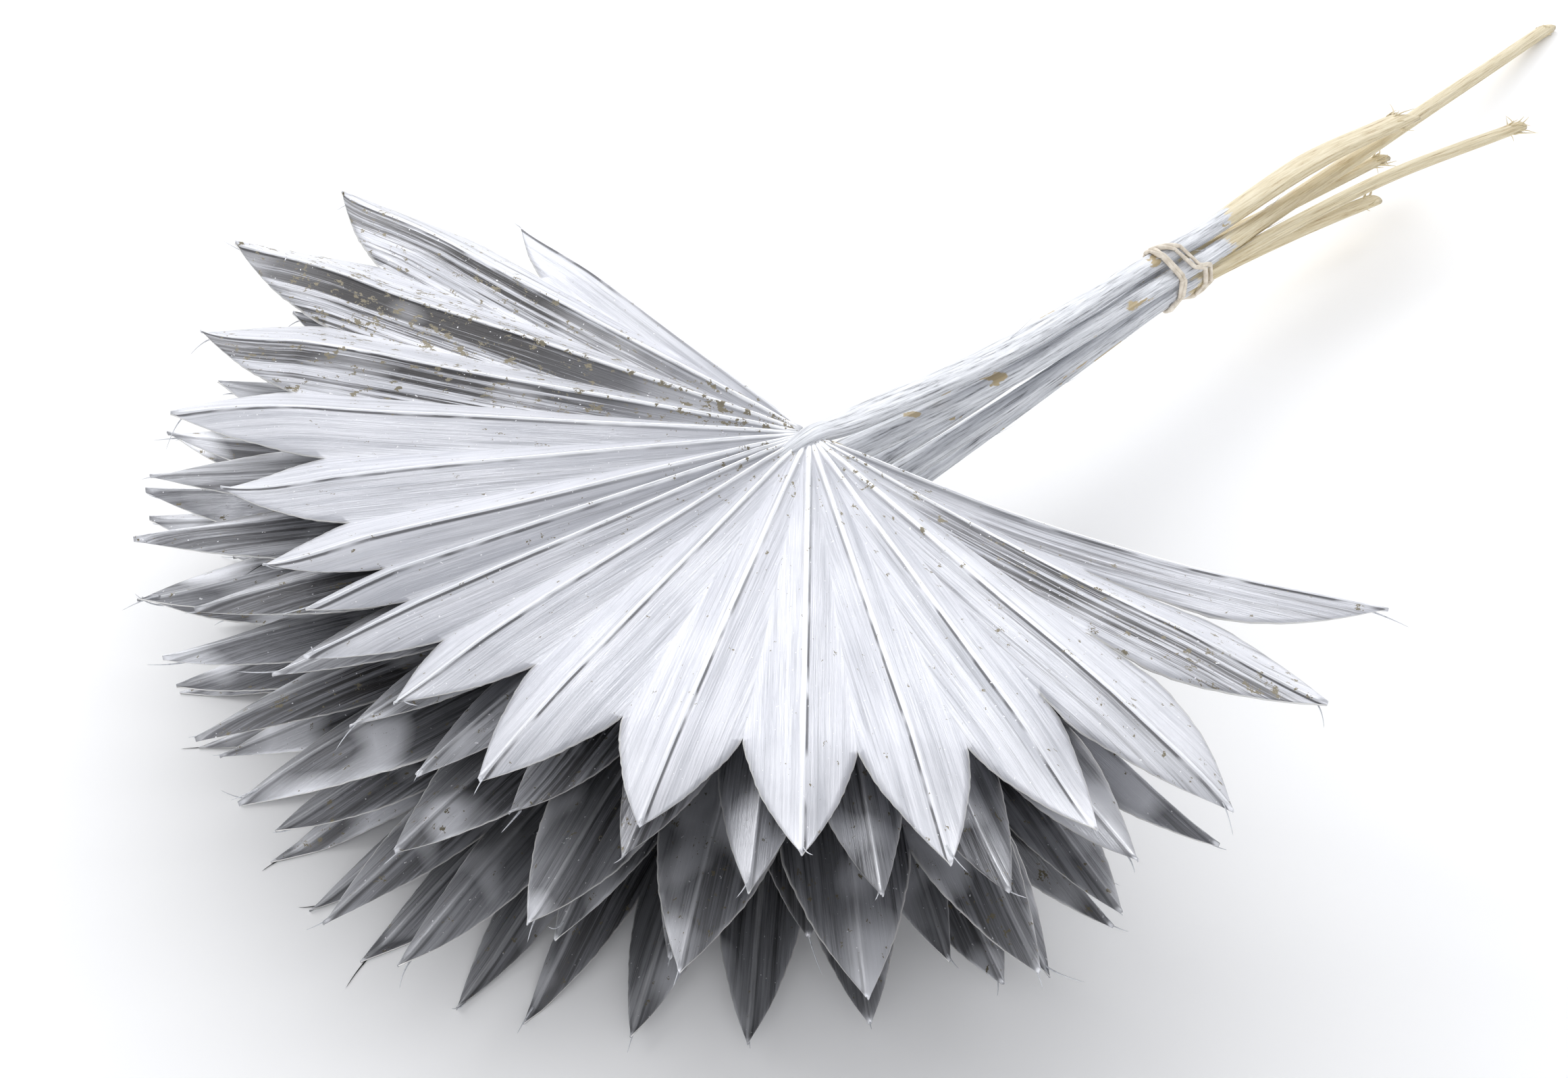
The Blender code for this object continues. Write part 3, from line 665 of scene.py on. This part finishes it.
def painted_stem(name):
    """Stalk of a palm leaf, sprayed with aluminium paint up to the band and bare straw past it,
    with long fibres that stand out as fine ridges and shadows."""
    material, shader = new_material(name)
    place = add_node(material, "ShaderNodeCombineXYZ",
                     links={"X": attribute(material, "around"), "Y": attribute(material, "along")}).outputs[0]
    fibres = noise_at(material, place, *STEM_FIBRES)
    paint = ramp(material, fibres, coded(PAINT_COLOURS))
    # Here and there the paint has come off and the tan skin shows.
    lost = noise_at(material, place, *LOST_PAINT)
    paint = cover(material, span(material, lost, 0.635, 0.65), paint, TAN_SKIN_COLOUR)
    straw = ramp(material, fibres, coded(STRAW_COLOURS))
    # The paint has a ragged end, some way past the band or just at it.
    patches = noise_at(material, place, *PAINT_END_PATCHES)
    ragged = times(material, plus(material, patches, -0.5), PAINT_END_RAGGEDNESS)
    bare = span(material, plus(material, attribute(material, "past_paint"), ragged), -1.0, 1.5)
    mixed = add_node(material, "ShaderNodeMix", {"data_type": "RGBA"}, {0: bare, 6: paint, 7: straw})
    material.node_tree.links.new(mixed.outputs[2], shader.inputs["Base Color"])
    metal = span(material, bare, 0.0, 1.0, 0.15, 0.0)
    material.node_tree.links.new(metal, shader.inputs["Metallic"])
    shader.inputs["Roughness"].default_value = 0.5
    bump = add_node(material, "ShaderNodeBump", {"Strength": 0.7, "Distance": 0.35 * MM}, {"Height": fibres})
    material.node_tree.links.new(bump.outputs[0], shader.inputs["Normal"])
    return material


stem_paint = painted_stem("palm stalk, aluminium spray paint and bare straw")
for index in range(len(STEMS)):
    points, values = stem_surface(index)
    faces = ring_faces(*points.shape[:2])[:, ::-1]
    stem = mesh_piece(f"leaf_stem_{index + 1}", points.reshape(-1, 3), faces, values, STEM_WELD)
    stem.data.materials.append(stem_paint)
    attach(stem, "root")
    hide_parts(f"leaf_{index + 1}")

# The loose fibres: strands of the leaf's own tissue. They are torn out where a stem was cut, stand
# off along the painted stems, fray at the top leaf's hub and end the segments as curled hairs.
FIBRE_ROWS = 12
FIBRE_SIDES = 5
FIBRE_WIDTH = 0.34
TORN_WIDTH = 2.2 * FIBRE_WIDTH
TIP_HAIR_WIDTH = 2.0 * FIBRE_WIDTH
HUB_FIBRE_WIDTH = 1.6 * FIBRE_WIDTH
END_FIBRES = 16
END_FIBRE_BACK = 5.0
STEM_HAIRS = 14
HUB_FIBRES = 12
HAIR_WIDTH = 0.2
TIP_HAIR_START = 0.965
TOP_TIP_CURL = 0.5
LOWER_TIP_CURL = 0.25
FIBRE_TAPER = 0.8
FIBRE_SIDE = (0.31, -0.42, 0.85)
TORN_BEND = 0.3
TORN_SPREAD = 0.25
TORN_SHARE_RANGE = (0.35, 1.0)
HAIR_BEND = 0.12
HAIR_SPREAD = 0.12
HAIR_LENGTHS = (6.0, 16.0)
TIP_HAIR_LENGTHS = (7.0, 11.0)
HUB_FIBRE_AZIMUTHS = (285.0, 345.0)
HUB_FIBRE_FALL = -0.15
HUB_FIBRE_OFFSET = (2.0, 0.5, -0.5)
HUB_FIBRE_BEND = 0.4
HUB_FIBRE_LENGTHS = (3.5, 8.0)
BARE = 60.0
PAINTED = -60.0
FIBRE_WELD = 0.002
FIBRE_SEED = 300


def fibre_tubes(starts, directions, bends, lengths, width):
    """Thin tapering tubes, one for each start. The middle line runs from the start along the
    direction by the length times t, and along the bend by the length times t squared, for t from
    nought to one. The radius falls in a straight line and is nought at both ends."""
    t = np.linspace(0.0, 1.0, FIBRE_ROWS)[None, :, None]
    lengths = np.asarray(lengths)[:, None, None]
    middle = starts[:, None] + lengths * (directions[:, None] * t + bends[:, None] * t ** 2)
    forward = np.gradient(middle, axis=1)
    forward /= np.linalg.norm(forward, axis=2, keepdims=True)
    side = np.cross(forward, FIBRE_SIDE)
    side /= np.linalg.norm(side, axis=2, keepdims=True)
    other = np.cross(forward, side)
    radius = 0.5 * width * (1.0 - FIBRE_TAPER * t) * np.where((t == 0.0) | (t == 1.0), 0.0, 1.0)
    turn = np.linspace(0.0, 2.0 * math.pi, FIBRE_SIDES, endpoint=False)
    return (middle[:, :, None] + (radius[..., None] * np.cos(turn)[:, None]) * side[:, :, None]
            + (radius[..., None] * np.sin(turn)[:, None]) * other[:, :, None])


def unit(vectors):
    """Vectors of length one."""
    return vectors / np.linalg.norm(vectors, axis=-1, keepdims=True)


def leaf_fibres(index):
    """All loose fibres of one leaf: tubes, and how far past the end of the paint each counts as
    lying, which is far enough to be wholly bare or wholly painted."""
    draw = np.random.default_rng(FIBRE_SEED + index)
    skin = stem_surface(index)[0]
    rings = len(skin)
    tubes = []
    past = []
    # Torn strands at the cut end start a little way back on the skin.
    back = rings - 3 - draw.integers(0, round(END_FIBRE_BACK / STEM_ROW_STEP) + 1, END_FIBRES)
    side = draw.integers(0, STEM_SIDES, END_FIBRES)
    starts = skin[back, side]
    outward = unit(starts - skin[back].mean(axis=1))
    forward = unit(skin[-3].mean(axis=0) - skin[-8].mean(axis=0))
    bends = TORN_BEND * draw.normal(size=(END_FIBRES, 3))
    torn = STEMS[index]["torn"] * draw.uniform(*TORN_SHARE_RANGE, END_FIBRES)
    tubes.append(fibre_tubes(starts - 0.2 * outward, forward + TORN_SPREAD * outward, bends, torn,
                             TORN_WIDTH))
    past.append(np.full(END_FIBRES, BARE))
    # Fine hairs stand off the painted stem.
    place = draw.integers(rings // 8, rings * 2 // 3, STEM_HAIRS)
    side = draw.integers(0, STEM_SIDES, STEM_HAIRS)
    starts = skin[place, side]
    outward = unit(starts - skin[place].mean(axis=1))
    forward = unit(skin[place + 3].mean(axis=1) - skin[place].mean(axis=1))
    turned = forward * draw.choice([-1.0, 1.0], STEM_HAIRS)[:, None]
    bends = HAIR_BEND * draw.normal(size=(STEM_HAIRS, 3))
    tubes.append(fibre_tubes(starts - 0.1 * outward, turned + HAIR_SPREAD * outward, bends,
                             draw.uniform(*HAIR_LENGTHS, STEM_HAIRS), HAIR_WIDTH))
    past.append(np.full(STEM_HAIRS, PAINTED))
    # Curled hairs end the segments.
    azimuths = np.radians(BLADES[index]["azimuths"])
    lengths = np.array(BLADES[index]["lengths"], float)
    hub = hub_of(index)
    outward = np.stack([np.cos(azimuths), np.sin(azimuths), 0.0 * azimuths], axis=-1)
    starts = hub + TIP_HAIR_START * lengths[:, None] * outward
    starts[:, 2] = middle_height(index, azimuths, TIP_HAIR_START * lengths)
    curl = TOP_TIP_CURL if index == 0 else LOWER_TIP_CURL
    tubes.append(fibre_tubes(starts, outward, curl * draw.normal(size=(len(azimuths), 3)),
                             draw.uniform(*TIP_HAIR_LENGTHS, len(azimuths)), TIP_HAIR_WIDTH))
    past.append(np.full(len(azimuths), PAINTED))
    # The top stem's base is frayed on the front side of the hub.
    if index == 0:
        angles = np.radians(draw.uniform(*HUB_FIBRE_AZIMUTHS, HUB_FIBRES))
        outward = np.stack([np.cos(angles), np.sin(angles), np.full(HUB_FIBRES, HUB_FIBRE_FALL)], axis=-1)
        starts = hub + np.array(NECK_OFFSET) + np.array(HUB_FIBRE_OFFSET) + 2.0 * outward
        tubes.append(fibre_tubes(starts, outward, HUB_FIBRE_BEND * draw.normal(size=(HUB_FIBRES, 3)),
                                 draw.uniform(*HUB_FIBRE_LENGTHS, HUB_FIBRES), HUB_FIBRE_WIDTH))
        past.append(draw.choice([PAINTED, BARE], HUB_FIBRES))
    return np.concatenate(tubes), np.concatenate(past)


for index in range(len(STEMS)):
    tubes, past = leaf_fibres(index)
    each = ring_faces(FIBRE_ROWS, FIBRE_SIDES)
    faces = np.concatenate([each + k * FIBRE_ROWS * FIBRE_SIDES for k in range(len(tubes))])
    shape = tubes.shape[:3]
    values = {
        "around": np.zeros(shape),
        "along": np.broadcast_to(np.arange(FIBRE_ROWS)[None, :, None], shape),
        "past_paint": np.broadcast_to(past[:, None, None], shape),
    }
    fibres = mesh_piece(f"leaf_fibres_{index + 1}", tubes.reshape(-1, 3), faces, values, FIBRE_WELD)
    fibres.data.materials.append(stem_paint)
    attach(fibres, "root")
    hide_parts(f"leaf_{index + 1}")

# The rubber band: one thin natural rubber band wound four times round the stems, two turns
# straight and two that lean along the stems, each a flat strand that twists as it goes.
STRAND_HALF_SIZE = (0.85, 0.6)
BAND_CLEARANCE = 0.2
BAND_TURNS = [(0.0, -6.3), (0.0, -4.7), (13.0, -4.4), (15.0, -3.0)]
BAND_LEAN_ANGLE = math.radians(150.0)
BAND_ROWS = 220
BAND_SIDES = 10
BAND_TWISTS = 3
BAND_PHASE_STEP = 0.9
BAND_SMOOTHING = 9
BAND_WANDER = ((0.35, 3.0), (0.2, 7.0))
BAND_WELD = 0.001
BAND_COLOURS = [(0.3, "#C4B8A6"), (0.7, "#EAE2D4")]


def bundle_outline(angles, clearance):
    """Points round the tied stems, across and up. In each direction it is where the farthest
    stem's oval is touched by a line square to that direction, moved out by the clearance."""
    outward = np.stack([np.cos(angles), np.sin(angles)], axis=-1)
    slots = np.array([sizes["slot"] for sizes in STEMS])
    halves = 0.5 * np.array([(sizes["widths"][2], sizes["depth"]) for sizes in STEMS])
    reach = np.linalg.norm(halves[None] * outward[:, None], axis=-1)
    support = outward @ slots.T + reach
    best = support.argmax(axis=1)
    rows = np.arange(len(angles))
    touching = slots[best] + halves[best] ** 2 * outward / reach[rows, best][:, None]
    return touching + outward * clearance


def band_turn(lean, along, phase):
    """One turn of the band: a flat oval carried round the bundle's outline, twisting as it goes.
    Its place along the stems shifts by half the lean times one less the cosine of the angle, and
    wanders by two small sines."""
    angles = np.linspace(0.0, 2.0 * math.pi, BAND_ROWS, endpoint=False)
    across, up = bundle_outline(angles, BAND_CLEARANCE + STRAND_HALF_SIZE[1]).T
    kernel = np.ones(BAND_SMOOTHING) / BAND_SMOOTHING
    reach = BAND_SMOOTHING // 2
    across = np.convolve(np.concatenate([across[-reach:], across, across[:reach]]), kernel, "valid")
    up = np.convolve(np.concatenate([up[-reach:], up, up[:reach]]), kernel, "valid")
    (wide, few), (narrow, many) = BAND_WANDER
    wander = wide * np.sin(few * angles + phase) + narrow * np.sin(many * angles + 2.0 * phase)
    leaning = 0.5 * lean * (1.0 - np.cos(angles - BAND_LEAN_ANGLE))
    centres = band_point(across, up, along + leaning + wander)
    forward = np.roll(centres, -1, axis=0) - np.roll(centres, 1, axis=0)
    forward /= np.linalg.norm(forward, axis=1, keepdims=True)
    outward = centres - centres.mean(axis=0)
    outward -= (outward * forward).sum(axis=1, keepdims=True) * forward
    outward /= np.linalg.norm(outward, axis=1, keepdims=True)
    beside = np.cross(forward, outward)
    twist = (BAND_TWISTS * angles + phase)[:, None]
    turn = np.linspace(0.0, 2.0 * math.pi, BAND_SIDES, endpoint=False)[None, :]
    flat_x = STRAND_HALF_SIZE[0] * np.cos(turn)
    flat_y = STRAND_HALF_SIZE[1] * np.sin(turn)
    beside_share = flat_x * np.cos(twist) - flat_y * np.sin(twist)
    outward_share = flat_x * np.sin(twist) + flat_y * np.cos(twist)
    points = (centres[:, None] + beside_share[..., None] * beside[:, None]
              + outward_share[..., None] * outward[:, None])
    return np.concatenate([points, points[:1]])


def rubber(name):
    """Natural rubber strip, cut from a rolled sheet: matt and pale brown, greyed by dust, with a
    little bloom on its skin."""
    material, shader = new_material(name)
    place = add_node(material, "ShaderNodeTexCoord").outputs["Object"]
    bloom = add_node(material, "ShaderNodeTexNoise", {"Scale": 420.0, "Detail": 3.0}, {"Vector": place})
    colour = ramp(material, bloom.outputs["Fac"], coded(BAND_COLOURS))
    material.node_tree.links.new(colour, shader.inputs["Base Color"])
    shader.inputs["Roughness"].default_value = 0.62
    return material


turns = [band_turn(lean, along, BAND_PHASE_STEP * k) for k, (lean, along) in enumerate(BAND_TURNS)]
each = ring_faces(BAND_ROWS + 1, BAND_SIDES)[:, ::-1]
faces = np.concatenate([each + k * (BAND_ROWS + 1) * BAND_SIDES for k in range(len(turns))])
band = mesh_piece("rubber_band_turns", np.concatenate(turns).reshape(-1, 3), faces, {}, BAND_WELD)
band.data.materials.append(rubber("natural rubber band, dusty"))
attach(band, "root")
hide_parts("rubber_band")

# The floor is a plain pale sheet. Soft light comes from a wide panel behind and above, as in a
# studio, with a weaker one on the left.
FLOOR_HALF_SIDE = 2500.0
ROOM_BRIGHTNESS = 2.3
ROOM_LEVELS = [(0.0, 1.0), (0.2, 0.55), (0.35, 0.2), (0.55, 0.19), (0.75, 0.57)]

floor_mesh = bpy.data.meshes.new("floor")
half = FLOOR_HALF_SIDE * MM
floor_corners = [(-half, -half, 0), (half, -half, 0), (half, half, 0), (-half, half, 0)]
floor_mesh.from_pydata(floor_corners, [], [(0, 1, 2, 3)])
floor = bpy.data.objects.new("floor", floor_mesh)
bpy.context.scene.collection.objects.link(floor)
paper, paper_shader = new_material("matt white paper backdrop")
paper_shader.inputs["Base Color"].default_value = linear("#FAFAFA")
paper_shader.inputs["Roughness"].default_value = 0.9
floor_mesh.materials.append(paper)


def light_panel(name, place, width, height, power):
    """A soft rectangular light at a place in metres, facing the middle of the floor."""
    data = bpy.data.lights.new(name, "AREA")
    data.shape = "RECTANGLE"
    data.size = width
    data.size_y = height
    data.energy = power
    lamp = bpy.data.objects.new(name, data)
    lamp.location = place
    aim = -np.array(place)
    lamp.rotation_euler = (math.atan2(math.hypot(aim[0], aim[1]), -aim[2]), 0.0,
                           math.atan2(aim[1], aim[0]) - math.pi / 2.0)
    bpy.context.scene.collection.objects.link(lamp)


light_panel("back_panel", place=(0.0, 1.6, 1.15), width=2.6, height=1.1, power=22.0)
light_panel("left_panel", place=(-1.5, 0.5, 1.1), width=1.0, height=1.0, power=7.0)

# The room is bright behind the bunch, dim overhead and bright again low behind the camera. Level
# silver mirrors the bright back, and silver that slopes to the front mirrors the dim part.
world = bpy.data.worlds.new("studio")
world.use_nodes = True
sky = world.node_tree.nodes["Background"]
sky.inputs["Color"].default_value = linear("#F2F3F6")
direction = add_node(world, "ShaderNodeTexCoord").outputs["Generated"]
toward_back = add_node(world, "ShaderNodeSeparateXYZ", links={0: direction}).outputs["Y"]
place_on_ramp = span(world, toward_back, -1.0, 1.0)
room_greys = [(place, (level, level, level, 1.0)) for place, level in ROOM_LEVELS]
brightness = ramp(world, place_on_ramp, room_greys)
strength = times(world, brightness, ROOM_BRIGHTNESS)
world.node_tree.links.new(strength, sky.inputs["Strength"])
bpy.context.scene.world = world
